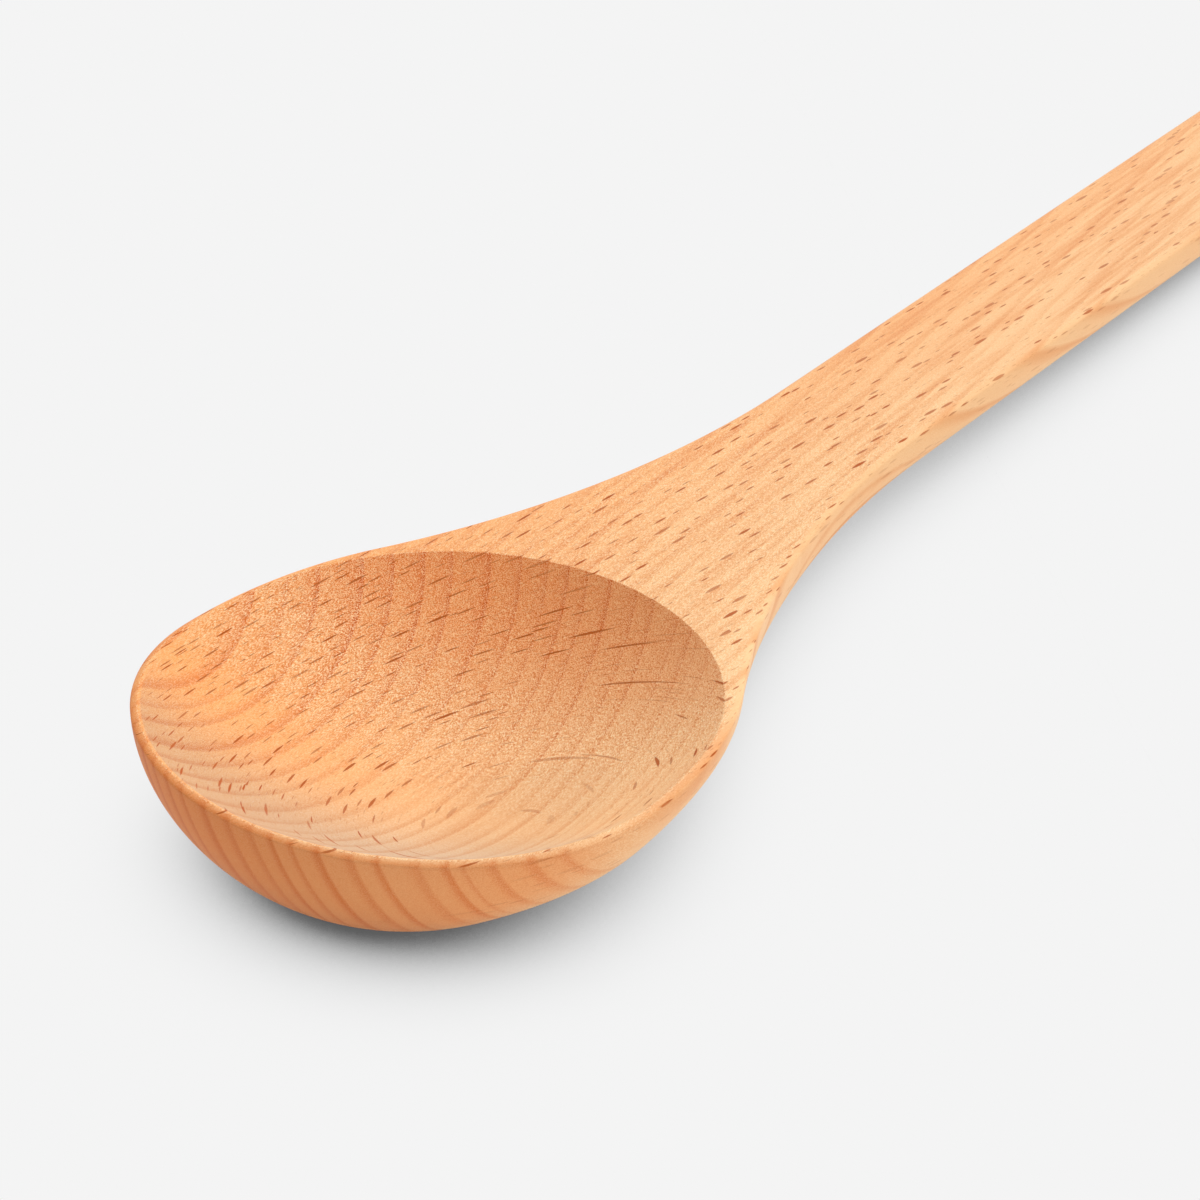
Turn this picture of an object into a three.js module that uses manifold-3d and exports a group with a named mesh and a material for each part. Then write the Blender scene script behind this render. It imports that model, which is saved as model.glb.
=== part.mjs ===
// A tasting spoon carved from one piece of beech, lying at rest on its belly and the end of its handle.
// Millimetres, +Z up, the handle runs along +X and the tip of the bowl points along -X.
import * as THREE from "three";
import { mergeVertices } from "three/addons/utils/BufferGeometryUtils.js";
import Module from "manifold-3d";

// Overall sizes
const OVERALL_LENGTH = 280;
const BOWL_WIDTH = 62;

// Outline seen from above, measured from the widest place of the bowl
const TIP_REACH = 26.1;
const NECK_REACH = 41.9;
const SHOULDER_RADIUS = 74;
const HANDLE_WIDTH = 19.3;
const HANDLE_FLARE = 0.006;
const END_REACH = 9;

// Hollow of the bowl, measured from the widest place, and the wood left around it and under it
const HOLLOW_DEPTH = 10.7;
const HOLLOW_REACH = 35;
const RIM_FLAT = 0.3;
const LIP_ROUND = 0.3;
const FLOOR_WALL = 4.3;

// Underside, as lengths along the middle line and a depth below the flat top face
const NOSE_LENGTH = 11.9;
const KEEL_REACH = 93;
const HANDLE_THICKNESS = 7.3;
const END_NOSE = 7;
const EDGE_ROUND = 0.7;

// Fullness of the cross-section: 2 is an ellipse, more is boxier
const BOWL_FULLNESS = 2;
const HANDLE_FULLNESS = 2.9;
const FULLNESS_START = 5;
const FULLNESS_END = 60;

// Fineness of the facets and of the searches
const TIP_STEPS = 18;
const NECK_STEPS = 28;
const HANDLE_STEPS = 10;
const END_STEPS = 9;
const ROUND_STEPS = 4;
const BELLY_STEPS = 18;
const HOLLOW_RINGS = 14;
const HOLLOW_SIDES = 20;
const SEARCH_STEP = 0.1;
const SEARCH_ROUNDS = 30;
const WELD = 1e-4;

const HALF_BOWL = BOWL_WIDTH / 2;
const BELLY_DEPTH = HOLLOW_DEPTH + FLOOR_WALL;
const END = OVERALL_LENGTH - TIP_REACH;
const FRONT = NOSE_LENGTH - TIP_REACH;

// A rise from 0 to 1 with level ends.
function ease(x) {
  const inside = Math.min(Math.max(x, 0), 1);
  return 0.5 - 0.5 * Math.cos(Math.PI * inside);
}

// The neck is drawn in a frame shortened along the handle until its ellipse is a circle.
// There the shoulder is one arc that touches the circle and the straight side of the handle.
const SHORTEN = HALF_BOWL / NECK_REACH;
const SIDE_SLOPE = HANDLE_FLARE / 2 / SHORTEN;
const SIDE_START = HANDLE_WIDTH / 2;
const SIDE_NORMAL = Math.hypot(1, SIDE_SLOPE);

function shoulderArc() {
  const reach = HALF_BOWL + SHOULDER_RADIUS;
  const rise = SIDE_START + SHOULDER_RADIUS * SIDE_NORMAL;
  const a = 1 + SIDE_SLOPE * SIDE_SLOPE;
  const b = 2 * SIDE_SLOPE * rise;
  const c = rise * rise - reach * reach;
  const x = (-b + Math.sqrt(b * b - 4 * a * c)) / (2 * a);
  return {
    x,
    y: rise + SIDE_SLOPE * x,
    from: (x * HALF_BOWL) / reach,
    to: x + (SHOULDER_RADIUS * SIDE_SLOPE) / SIDE_NORMAL,
  };
}

const SHOULDER = shoulderArc();

// One place of the outline with its outward direction in plan.
function station(along, half, outAlong, outSide) {
  const size = Math.hypot(outAlong, outSide);
  return { along, half, outAlong: outAlong / size, outSide: outSide / size };
}

// The outline behind the widest place, before the end is rounded: neck, shoulder, straight side.
function sideAt(along) {
  const x = along * SHORTEN;
  if (x < SHOULDER.from) {
    const half = Math.sqrt(HALF_BOWL * HALF_BOWL - x * x);
    return station(along, half, x * SHORTEN, half);
  }
  if (x < SHOULDER.to) {
    const off = SHOULDER.x - x;
    const drop = Math.sqrt(SHOULDER_RADIUS * SHOULDER_RADIUS - off * off);
    return station(along, SHOULDER.y - drop, off * SHORTEN, drop);
  }
  return station(along, SIDE_START + SIDE_SLOPE * x, -SIDE_SLOPE * SHORTEN, 1);
}

// Depth of the underside on the middle line: blunt nose, belly, keel running out, rounded end.
function depthAt(along) {
  if (along < FRONT) {
    const x = Math.min((FRONT - along) / NOSE_LENGTH, 1);
    return EDGE_ROUND + (BELLY_DEPTH - EDGE_ROUND) * Math.sqrt(1 - x * x);
  }
  const fall = ease((along - FRONT) / (KEEL_REACH - FRONT));
  const depth = BELLY_DEPTH + (HANDLE_THICKNESS - BELLY_DEPTH) * fall;
  const y = Math.min(Math.max((along - (END - END_NOSE)) / END_NOSE, 0), 1);
  return EDGE_ROUND + (depth - EDGE_ROUND) * Math.sqrt(1 - y * y);
}

function fullnessAt(along) {
  const share = ease((along - FULLNESS_START) / (FULLNESS_END - FULLNESS_START));
  return BOWL_FULLNESS + (HANDLE_FULLNESS - BOWL_FULLNESS) * share;
}

// The whole outline on one side, from the tip of the bowl to the end of the handle.
function outline() {
  const places = [];
  for (let i = 0; i < TIP_STEPS; i += 1) {
    const turn = ((Math.PI / 2) * i) / TIP_STEPS;
    const along = -TIP_REACH * Math.cos(turn);
    const half = HALF_BOWL * Math.sin(turn);
    places.push(station(along, half, -Math.cos(turn) / TIP_REACH, Math.sin(turn) / HALF_BOWL));
  }
  const straight = SHOULDER.to / SHORTEN;
  const last = END - END_REACH;
  for (let i = 0; i < NECK_STEPS; i += 1) {
    places.push(sideAt((straight * i) / NECK_STEPS));
  }
  for (let i = 0; i < HANDLE_STEPS; i += 1) {
    places.push(sideAt(straight + ((last - straight) * i) / HANDLE_STEPS));
  }
  const wide = sideAt(last).half;
  for (let i = 0; i <= END_STEPS; i += 1) {
    const turn = ((Math.PI / 2) * i) / END_STEPS;
    const half = wide * Math.cos(turn);
    const along = last + END_REACH * Math.sin(turn);
    places.push(station(along, half, Math.sin(turn) / END_REACH, Math.cos(turn) / wide));
  }
  return places;
}

const OUTLINE = outline();

// Towards the neck the mouth of the hollow is part of a circle that ends at the hollow's reach.
// It is the widest one that leaves the flat of the rim inside the rounded edge.
const RIM = EDGE_ROUND + RIM_FLAT;

function hollowCircle() {
  const beside = OUTLINE.filter((place) => place.along >= 0);
  let low = 0;
  let high = HALF_BOWL;
  for (let i = 0; i < SEARCH_ROUNDS; i += 1) {
    const radius = (low + high) / 2;
    const shift = HOLLOW_REACH - radius;
    const fits = beside.every((p) => Math.hypot(p.along - shift, p.half) > radius + RIM);
    low = fits ? radius : low;
    high = fits ? high : radius;
  }
  return { radius: low, shift: HOLLOW_REACH - low };
}

const HOLLOW = hollowCircle();

// The whole mouth as spokes from the circle's centre, each with a direction and a length.
// From the place where the circle comes nearest to the outline, the mouth follows the outline round the tip.
function mouthSpokes() {
  const inside = OUTLINE.map((place) => {
    const along = place.along - place.outAlong * RIM - HOLLOW.shift;
    const side = Math.max(place.half - place.outSide * RIM, 0);
    return { turn: Math.atan2(side, along), length: Math.hypot(along, side) };
  });
  const shortest = Math.min(...inside.map((spoke) => spoke.length));
  const touch = inside.findIndex((spoke) => spoke.length === shortest);
  const half = inside.slice(0, touch + 1);
  const corner = half[touch].turn;
  for (let i = 1; i <= HOLLOW_SIDES; i += 1) {
    half.push({ turn: corner * (1 - i / HOLLOW_SIDES), length: HOLLOW.radius });
  }
  const other = half.slice(1, -1).reverse();
  const mirrored = other.map((spoke) => ({ turn: -spoke.turn, length: spoke.length }));
  return [...half, ...mirrored];
}

// Half a cross-section from the flat top, over the rounded edge and down to the middle of the underside.
function halfSection(place) {
  const points = [];
  for (let i = 0; i <= ROUND_STEPS; i += 1) {
    const turn = ((Math.PI / 2) * i) / ROUND_STEPS;
    const inset = EDGE_ROUND * (1 - Math.sin(turn));
    const along = place.along - place.outAlong * inset;
    const side = Math.max(place.half - place.outSide * inset, 0);
    points.push(new THREE.Vector3(along, side, EDGE_ROUND * (Math.cos(turn) - 1)));
  }
  const power = 2 / fullnessAt(place.along);
  const below = depthAt(place.along) - EDGE_ROUND;
  for (let i = 1; i <= BELLY_STEPS; i += 1) {
    const turn = ((Math.PI / 2) * i) / BELLY_STEPS;
    const side = i === BELLY_STEPS ? 0 : place.half * Math.cos(turn) ** power;
    points.push(new THREE.Vector3(place.along, side, -EDGE_ROUND - below * Math.sin(turn) ** power));
  }
  return points;
}

// Loops of points, one behind the other, joined by triangles into a skin.
function loftGeometry(loops) {
  const around = loops[0].length;
  const index = [];
  for (let i = 0; i + 1 < loops.length; i += 1) {
    for (let j = 0; j < around; j += 1) {
      const a = i * around + j;
      const b = i * around + ((j + 1) % around);
      index.push(a, a + around, b);
      index.push(b, a + around, b + around);
    }
  }
  const geometry = new THREE.BufferGeometry();
  geometry.setFromPoints(loops.flat());
  geometry.setIndex(index);
  return geometry;
}

// The whole blank: cross-sections from the tip to the end, with the flat top closing each of them.
function blankGeometry() {
  const loops = OUTLINE.map((place) => {
    const half = halfSection(place);
    const other = half.slice(0, -1).reverse();
    const mirrored = other.map((p) => new THREE.Vector3(p.x, -p.y, p.z));
    return [...half, ...mirrored];
  });
  return loftGeometry(loops);
}

// Section of the hollow from its bottom out: a ball cap, the rounded lip, then up and back over the top.
function hollowProfile() {
  const ball = (HOLLOW.radius ** 2 + HOLLOW_DEPTH ** 2) / (2 * HOLLOW_DEPTH);
  const centre = ball - HOLLOW_DEPTH;
  const lip = Math.sqrt((ball + LIP_ROUND) ** 2 - (centre + LIP_ROUND) ** 2);
  const sweep = Math.atan2(lip, centre + LIP_ROUND);
  const low = -Math.PI / 2;
  const cap = new THREE.EllipseCurve(0, centre, ball, ball, low, low + sweep, false);
  const round = new THREE.EllipseCurve(lip, -LIP_ROUND, LIP_ROUND, LIP_ROUND, sweep - low, -low, true);
  const profile = cap.getPoints(HOLLOW_RINGS);
  profile[0].x = 0;
  profile.push(...round.getPoints(ROUND_STEPS).slice(1));
  profile.push(new THREE.Vector2(lip, BELLY_DEPTH));
  profile.push(new THREE.Vector2(0, BELLY_DEPTH));
  return profile;
}

// The tool that cuts the hollow: its section drawn out along each spoke until it meets the mouth.
function hollowGeometry() {
  const spokes = mouthSpokes();
  const loops = hollowProfile().map((point) =>
    spokes.map((spoke) => {
      const out = (point.x * spoke.length) / HOLLOW.radius;
      const along = HOLLOW.shift + out * Math.cos(spoke.turn);
      return new THREE.Vector3(along, out * Math.sin(spoke.turn), point.y);
    }),
  );
  return loftGeometry(loops);
}

const wasm = await Module();
wasm.setup();

// A closed geometry as a solid, without the triangles that collapse at the tip, the end and the axis.
function solidOf(geometry) {
  const bare = geometry.clone();
  bare.deleteAttribute("normal");
  bare.deleteAttribute("uv");
  const merged = mergeVertices(bare, WELD);
  const corners = merged.index.array;
  const kept = [];
  for (let i = 0; i < corners.length; i += 3) {
    const [a, b, c] = corners.slice(i, i + 3);
    if (a !== b && b !== c && c !== a) {
      kept.push(a, b, c);
    }
  }
  return new wasm.Manifold(
    new wasm.Mesh({
      numProp: 3,
      vertProperties: new Float32Array(merged.attributes.position.array),
      triVerts: new Uint32Array(kept),
    }),
  );
}

function geometryOf(solid) {
  const mesh = solid.getMesh();
  const geometry = new THREE.BufferGeometry();
  geometry.setAttribute("position", new THREE.Float32BufferAttribute(mesh.vertProperties, 3));
  geometry.setIndex(new THREE.BufferAttribute(mesh.triVerts, 1));
  return geometry;
}

// At rest the line from the end of the handle to the belly lies on the table, which tilts the top face.
function restTilt() {
  const heel = END - END_NOSE;
  let slope = 0;
  for (let along = -TIP_REACH; along < KEEL_REACH; along += SEARCH_STEP) {
    slope = Math.max(slope, (depthAt(along) - depthAt(heel)) / (heel - along));
  }
  return Math.atan(slope);
}

const carved = solidOf(blankGeometry()).subtract(solidOf(hollowGeometry()));
const shape = geometryOf(carved);
shape.rotateY(restTilt());
shape.computeBoundingBox();
const middle = shape.boundingBox.getCenter(new THREE.Vector3());
shape.translate(-middle.x, 0, -shape.boundingBox.min.z);
shape.computeVertexNormals();

const beech = new THREE.MeshStandardMaterial({ color: 0xf0b884, roughness: 0.55, metalness: 0 });
const spoon = new THREE.Mesh(shape, beech);
spoon.name = "spoon";

const part = new THREE.Group();
part.add(spoon);

export default part;
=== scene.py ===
# %% [markdown]
# # A beech tasting spoon
# The spoon is one carved piece of beech: a round shallow bowl, sloping shoulders and a long straight
# handle under one flat top face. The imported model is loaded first. It fixes the frame, the size and the
# attitude in which the spoon lies, and everything below is built around it in metres.

import math

import bpy
import numpy as np
from mathutils import Matrix, Vector


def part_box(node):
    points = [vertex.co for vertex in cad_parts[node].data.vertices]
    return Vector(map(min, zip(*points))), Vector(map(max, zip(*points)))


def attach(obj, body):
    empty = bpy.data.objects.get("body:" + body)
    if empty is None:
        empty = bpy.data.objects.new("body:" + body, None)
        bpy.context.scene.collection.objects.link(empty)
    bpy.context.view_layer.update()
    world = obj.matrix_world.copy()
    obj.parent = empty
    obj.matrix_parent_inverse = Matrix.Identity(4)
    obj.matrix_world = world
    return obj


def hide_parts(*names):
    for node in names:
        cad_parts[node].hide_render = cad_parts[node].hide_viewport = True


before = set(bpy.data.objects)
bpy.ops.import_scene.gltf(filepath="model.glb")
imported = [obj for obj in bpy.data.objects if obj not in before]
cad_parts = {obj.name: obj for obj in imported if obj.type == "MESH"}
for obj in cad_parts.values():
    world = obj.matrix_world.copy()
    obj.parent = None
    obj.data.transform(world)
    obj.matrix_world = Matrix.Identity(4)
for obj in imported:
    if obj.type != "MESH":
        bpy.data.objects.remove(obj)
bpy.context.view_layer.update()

# %% [markdown]
# ## Sizes
# A carver would draw the outline on a board first. These are the sizes of that drawing in millimetres,
# measured from the widest place of the bowl, with the flat top face at height zero. They could be read
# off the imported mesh, but named sizes keep every curve below a formula that can be changed.

# %% Sizes of the spoon
MM = 0.001

OVERALL_LENGTH = 280.0
BOWL_WIDTH = 62.0
TIP_REACH = 26.1
NECK_REACH = 41.9
SHOULDER_RADIUS = 74.0
HANDLE_WIDTH = 19.3
HANDLE_FLARE = 0.006
END_REACH = 9.0

HOLLOW_DEPTH = 10.7
HOLLOW_REACH = 35.0
RIM_FLAT = 0.3
FLOOR_WALL = 4.3

NOSE_LENGTH = 11.9
KEEL_REACH = 93.0
HANDLE_THICKNESS = 7.3
END_NOSE = 7.0
EDGE_ROUND = 0.7

HALF_BOWL = BOWL_WIDTH / 2
RIM_WIDTH = EDGE_ROUND + RIM_FLAT
BELLY_DEPTH = HOLLOW_DEPTH + FLOOR_WALL
END = OVERALL_LENGTH - TIP_REACH
FRONT = NOSE_LENGTH - TIP_REACH
print("rim", RIM_WIDTH, "mm wide, belly", BELLY_DEPTH, "mm deep")
print("handle ends", END, "mm behind the widest place")

# %% [markdown]
# ## Outline from above
# The tip is half an ellipse and the neck side is half a longer one. A single arc, drawn in a frame that
# is shortened until the neck's ellipse is a circle, touches that circle and the straight side of the
# handle, so the shoulder has no kink. The curve could be traced by hand instead, but tangent arcs stay
# exact at any size.

# %% Shoulder arc
SHORTEN = HALF_BOWL / NECK_REACH
SIDE_SLOPE = HANDLE_FLARE / 2 / SHORTEN
SIDE_START = HANDLE_WIDTH / 2
SIDE_NORMAL = math.hypot(1, SIDE_SLOPE)


def shoulder_arc():
    """Centre of the arc that lies one radius outside the circle and one radius above the straight side.

    The two distances give a quadratic equation for the centre's place along the spoon.
    """
    reach = HALF_BOWL + SHOULDER_RADIUS
    rise = SIDE_START + SHOULDER_RADIUS * SIDE_NORMAL
    square = 1 + SIDE_SLOPE**2
    linear = 2 * SIDE_SLOPE * rise
    constant = rise**2 - reach**2
    along = (-linear + math.sqrt(linear * linear - 4 * square * constant)) / (2 * square)
    start = along * HALF_BOWL / reach
    stop = along + SHOULDER_RADIUS * SIDE_SLOPE / SIDE_NORMAL
    return along, rise + SIDE_SLOPE * along, start, stop


ARC_ALONG, ARC_SIDE, ARC_START, ARC_STOP = shoulder_arc()
print("shoulder runs from", round(ARC_START / SHORTEN, 1), "to", round(ARC_STOP / SHORTEN, 1), "mm")


# %% Half width behind the widest place
def side_of(along):
    """Half width behind the widest place and the outward direction there: circle, arc, straight line."""
    short = along * SHORTEN
    on_circle = short < ARC_START
    on_arc = (short >= ARC_START) & (short < ARC_STOP)
    circle = np.sqrt(np.maximum(HALF_BOWL**2 - short**2, 0))
    drop = np.sqrt(np.maximum(SHOULDER_RADIUS**2 - (ARC_ALONG - short) ** 2, 0))
    places = [on_circle, on_arc]
    half = np.select(places, [circle, ARC_SIDE - drop], SIDE_START + SIDE_SLOPE * short)
    out_along = np.select(places, [short * SHORTEN, (ARC_ALONG - short) * SHORTEN], -SIDE_SLOPE * SHORTEN)
    out_side = np.select(places, [circle, drop], 1.0)
    return half, out_along, out_side


shoulder_end = np.array([ARC_STOP / SHORTEN])
print("half width where the shoulder ends", round(float(side_of(shoulder_end)[0][0]), 2), "mm")

# %% Outline as arrays
TIP_STEPS = 90
NECK_STEPS = 150
HANDLE_STEPS = 60
END_STEPS = 36


def outline():
    """Stations from tip to end: cosine and sine of an angle at the tip and the end, even steps between."""
    tip = np.linspace(0, np.pi / 2, TIP_STEPS, endpoint=False)
    straight = ARC_STOP / SHORTEN
    last = END - END_REACH
    neck = np.linspace(0, straight, NECK_STEPS, endpoint=False)
    handle = np.linspace(straight, last, HANDLE_STEPS, endpoint=False)
    middle = np.concatenate([neck, handle])
    half, out_along, out_side = side_of(middle)
    wide = side_of(np.array([last]))[0][0]
    end = np.linspace(0, np.pi / 2, END_STEPS + 1)
    along = np.concatenate([-TIP_REACH * np.cos(tip), middle, last + END_REACH * np.sin(end)])
    side = np.concatenate([HALF_BOWL * np.sin(tip), half, wide * np.cos(end)])
    facing_along = np.concatenate([-np.cos(tip) / TIP_REACH, out_along, np.sin(end) / END_REACH])
    facing_side = np.concatenate([np.sin(tip) / HALF_BOWL, out_side, np.cos(end) / wide])
    size = np.hypot(facing_along, facing_side)
    return along, side, facing_along / size, facing_side / size


ALONG, SIDE, OUT_ALONG, OUT_SIDE = outline()
print("outline has", len(ALONG), "stations, widest", round(2 * SIDE.max(), 2), "mm")

# %% [markdown]
# ## Underside and edge
# Along the whole flat top the edge is worn to something between a bevel and a round, which catches the
# light. Under it each cross-section is a superellipse: an ellipse under the bowl that fills out to a
# boxier shape under the handle. Its depth follows the middle line, which has a blunt nose, a belly and a
# keel that eases out into the handle. Sculpting would give the same form, but a loft of formulas keeps
# the wall under the hollow even.

# %% Middle line of the underside
EDGE_DROP = 0.4


def ease(x):
    """A rise from 0 to 1 with level ends: half of one minus the cosine."""
    return 0.5 - 0.5 * np.cos(np.pi * np.clip(x, 0, 1))


def depth_at(along):
    """Depth on the middle line: quarter ellipse at the nose, eased keel, quarter ellipse at the end."""
    nose = np.sqrt(1 - np.clip((FRONT - along) / NOSE_LENGTH, 0, 1) ** 2)
    tail = np.sqrt(1 - np.clip((along - END + END_NOSE) / END_NOSE, 0, 1) ** 2)
    fall = ease((along - FRONT) / (KEEL_REACH - FRONT))
    depth = BELLY_DEPTH + (HANDLE_THICKNESS - BELLY_DEPTH) * fall
    return EDGE_DROP + (depth - EDGE_DROP) * nose * tail


print("underside is", round(float(depth_at(0.0)), 2), "mm deep at the widest place of the bowl")

# %% Skin of the spoon
BOWL_FULLNESS = 2.0
HANDLE_FULLNESS = 2.9
FULLNESS_START = 5.0
FULLNESS_END = 60.0
EDGE_STEPS = 8
EDGE_FLAT = 0.5
BELLY_STEPS = 44


def fullness_at(along):
    """Power of the superellipse, eased from the bowl's value to the handle's."""
    share = ease((along - FULLNESS_START) / (FULLNESS_END - FULLNESS_START))
    return BOWL_FULLNESS + (HANDLE_FULLNESS - BOWL_FULLNESS) * share


def skin():
    """Half the skin as a grid: an edge between a bevel and a quarter circle, then the superellipse."""
    share = np.linspace(0, 1, EDGE_STEPS + 1)[None, :]
    turn = share * np.pi / 2
    inset = EDGE_ROUND * (EDGE_FLAT * (1 - share) + (1 - EDGE_FLAT) * (1 - np.sin(turn)))
    edge_along = ALONG[:, None] - OUT_ALONG[:, None] * inset
    edge_side = np.maximum(SIDE[:, None] - OUT_SIDE[:, None] * inset, 0)
    fall = -EDGE_DROP * (EDGE_FLAT * share + (1 - EDGE_FLAT) * (1 - np.cos(turn)))
    edge_up = np.broadcast_to(fall, edge_along.shape)
    sweep = np.linspace(0, np.pi / 2, BELLY_STEPS + 1)[None, 1:]
    power = 2 / fullness_at(ALONG)[:, None]
    below = (depth_at(ALONG) - EDGE_DROP)[:, None]
    belly_side = SIDE[:, None] * np.maximum(np.cos(sweep), 0) ** power
    belly_side[:, -1] = 0
    belly_up = -EDGE_DROP - below * np.sin(sweep) ** power
    belly_along = np.broadcast_to(ALONG[:, None], belly_up.shape)
    upper = np.stack([edge_along, edge_side, edge_up], -1)
    lower = np.stack([belly_along, belly_side, belly_up], -1)
    return np.concatenate([upper, lower], 1)


SKIN = skin()
print("skin grid", SKIN.shape[:2], "deepest", round(SKIN[..., 2].min(), 2), "mm")

# %% [markdown]
# ## Hollow and flat top
# Towards the neck the mouth of the hollow is a circle, as a round cutter leaves it. Where that circle
# comes nearest to the outline the mouth turns to follow it, so a narrow rim runs round the tip. Below the
# mouth the hollow is a ball cap drawn out along spokes from the circle's centre. The spokes point at the
# stations of the outline, so the rim between the two is one strip of faces, which a cut with a boolean
# tool would leave ragged.

# %% Circle of the mouth
RADIUS_TRIES = 4000


def mouth_circle():
    """The widest circle that ends at the hollow's reach and keeps the rim's width to the outline."""
    radius = np.linspace(HALF_BOWL / 2, HALF_BOWL, RADIUS_TRIES)[:, None]
    beside = ALONG >= 0
    gap = np.hypot(ALONG[beside] - HOLLOW_REACH + radius, SIDE[beside]) - radius
    return float(radius[(gap > RIM_WIDTH).all(1)].max())


HOLLOW_RADIUS = mouth_circle()
HOLLOW_SHIFT = HOLLOW_REACH - HOLLOW_RADIUS
print("mouth circle has a radius of", round(HOLLOW_RADIUS, 2), "mm")
print("its centre is", round(HOLLOW_SHIFT, 2), "mm behind the widest place")

# %% Loop along the edge of the top
NECK_LINE = 52.0
CROSS_STEPS = 40

EDGE = SKIN[:, 0, :]
CROSS = int(np.searchsorted(ALONG, NECK_LINE))
MIRROR = np.array([1.0, -1.0, 1.0])


def edge_loop():
    """The edge of the top from the tip along one side, across the neck and back along the other side."""
    share = np.linspace(1, -1, CROSS_STEPS + 1)[1:-1]
    across = EDGE[CROSS] * np.array([1.0, 0.0, 1.0]) + np.outer(share * EDGE[CROSS, 1], [0, 1, 0])
    there = EDGE[: CROSS + 1]
    back = EDGE[CROSS:0:-1] * MIRROR
    return np.concatenate([there, across, back])


LOOP = edge_loop()
print("edge loop has", len(LOOP), "points")


# %% Spokes of the hollow
def spokes(loop):
    """Direction and length of each spoke: the outline set in by the rim round the tip, else the circle."""
    turn = np.arctan2(loop[:, 1], loop[:, 0] - HOLLOW_SHIFT)
    length = np.full(len(loop), HOLLOW_RADIUS)
    inside_along = (ALONG - OUT_ALONG * RIM_WIDTH - HOLLOW_SHIFT)[: CROSS + 1]
    inside_side = np.maximum(SIDE - OUT_SIDE * RIM_WIDTH, 0)[: CROSS + 1]
    inside = np.hypot(inside_along, inside_side)
    touch = int(np.argmin(inside))
    turn[: touch + 1] = np.arctan2(inside_side, inside_along)[: touch + 1]
    length[: touch + 1] = inside[: touch + 1]
    turn[-touch:] = -turn[touch:0:-1]
    length[-touch:] = length[touch:0:-1]
    return turn, length


SPOKE, MOUTH = spokes(LOOP)
print("mouth lies", round(MOUTH.min(), 2), "to", round(MOUTH.max(), 2), "mm from its centre")

# %% Hollow grid
LIP_NECK = 0.25
LIP_TIP = 0.65
LIP_CHANGE = 1.5
LIP_STEPS = 8
CAP_STEPS = 40


def hollow():
    """Lip round that touches the top and the ball from outside, then the ball, all stretched to the mouth."""
    lip = LIP_TIP + (LIP_NECK - LIP_TIP) * ease(LIP_CHANGE * np.cos(SPOKE))[None, :]
    ball = (HOLLOW_RADIUS**2 + HOLLOW_DEPTH**2) / (2 * HOLLOW_DEPTH)
    centre = ball - HOLLOW_DEPTH
    edge = np.sqrt((ball + lip) ** 2 - (centre + lip) ** 2)
    sweep = np.arctan2(edge, centre + lip)
    turn = sweep * np.linspace(0, 1, LIP_STEPS + 1)[:, None]
    lip_out = edge - lip * np.sin(turn)
    lip_up = lip * (np.cos(turn) - 1)
    fall = sweep * np.linspace(1, 0, CAP_STEPS + 1)[1:, None]
    cap_out = ball * np.sin(fall)
    cap_up = centre - ball * np.cos(fall)
    out = np.concatenate([lip_out, cap_out]) * MOUTH / HOLLOW_RADIUS
    up = np.concatenate([lip_up, cap_up])
    return np.stack([HOLLOW_SHIFT + out * np.cos(SPOKE), out * np.sin(SPOKE), up], -1)


HOLLOW = hollow()
print("hollow grid", HOLLOW.shape[:2], "bottom", round(HOLLOW[..., 2].min(), 2), "mm")


# %% Handle's top grid
def handle_top():
    """Straight lines from side to side at each station behind the neck line."""
    share = np.linspace(1, -1, CROSS_STEPS + 1)[None, :]
    rows = EDGE[CROSS:]
    side = rows[:, 1:2] * share
    return np.stack([np.broadcast_to(rows[:, :1], side.shape), side, np.zeros_like(side)], -1)


TOP = handle_top()
print("handle top grid", TOP.shape[:2])

# %% [markdown]
# ## One closed surface
# The grids share their border points, so rounding the coordinates finds the doubles and welds them. Faces
# that collapse at the tip, the end and the bottom of the hollow drop out. Every point also keeps a share
# that says how much of the tool's cut is left: all of it in the hollow and on the top, little on the
# sanded outside.


# %% Faces of the grids
def grid_faces(rows, columns, first, closed=False, flip=False):
    """Two triangles for each cell of a grid whose points are numbered row by row from first."""
    wide = columns if closed else columns - 1
    row, column = np.meshgrid(np.arange(rows - 1), np.arange(wide), indexing="ij")
    here = first + row * columns + column
    beside = first + row * columns + (column + 1) % columns
    below = here + columns
    across = beside + columns
    upper = np.stack([here, below, beside], -1).reshape(-1, 3)
    lower = np.stack([beside, below, across], -1).reshape(-1, 3)
    faces = np.concatenate([upper, lower])
    return faces[:, ::-1] if flip else faces


print("a closed strip of four cells has", len(grid_faces(2, 4, 0, closed=True)), "faces")

# %% Weld the grids
WELD_DIGITS = 5
TOOLED_CUT = 1.0
SANDED_OUTSIDE = 0.1


def joined(grids):
    """All grids as one welded set of points, faces and tooled shares, without the faces that collapse."""
    points = np.concatenate([grid.reshape(-1, 3) for grid, _, _, _ in grids])
    sizes = [grid.shape[0] * grid.shape[1] for grid, _, _, _ in grids]
    tooled = np.repeat([share for _, _, _, share in grids], sizes)
    firsts = np.cumsum([0] + sizes)
    faces = [
        grid_faces(*grid.shape[:2], first, closed, flip)
        for (grid, closed, flip, _), first in zip(grids, firsts)
    ]
    _, kept, welded = np.unique(np.round(points, WELD_DIGITS), axis=0, return_index=True, return_inverse=True)
    faces = welded.reshape(-1)[np.concatenate(faces)]
    whole = (faces != np.roll(faces, 1, axis=1)).all(1)
    return points[kept], faces[whole], tooled[kept]


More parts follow.
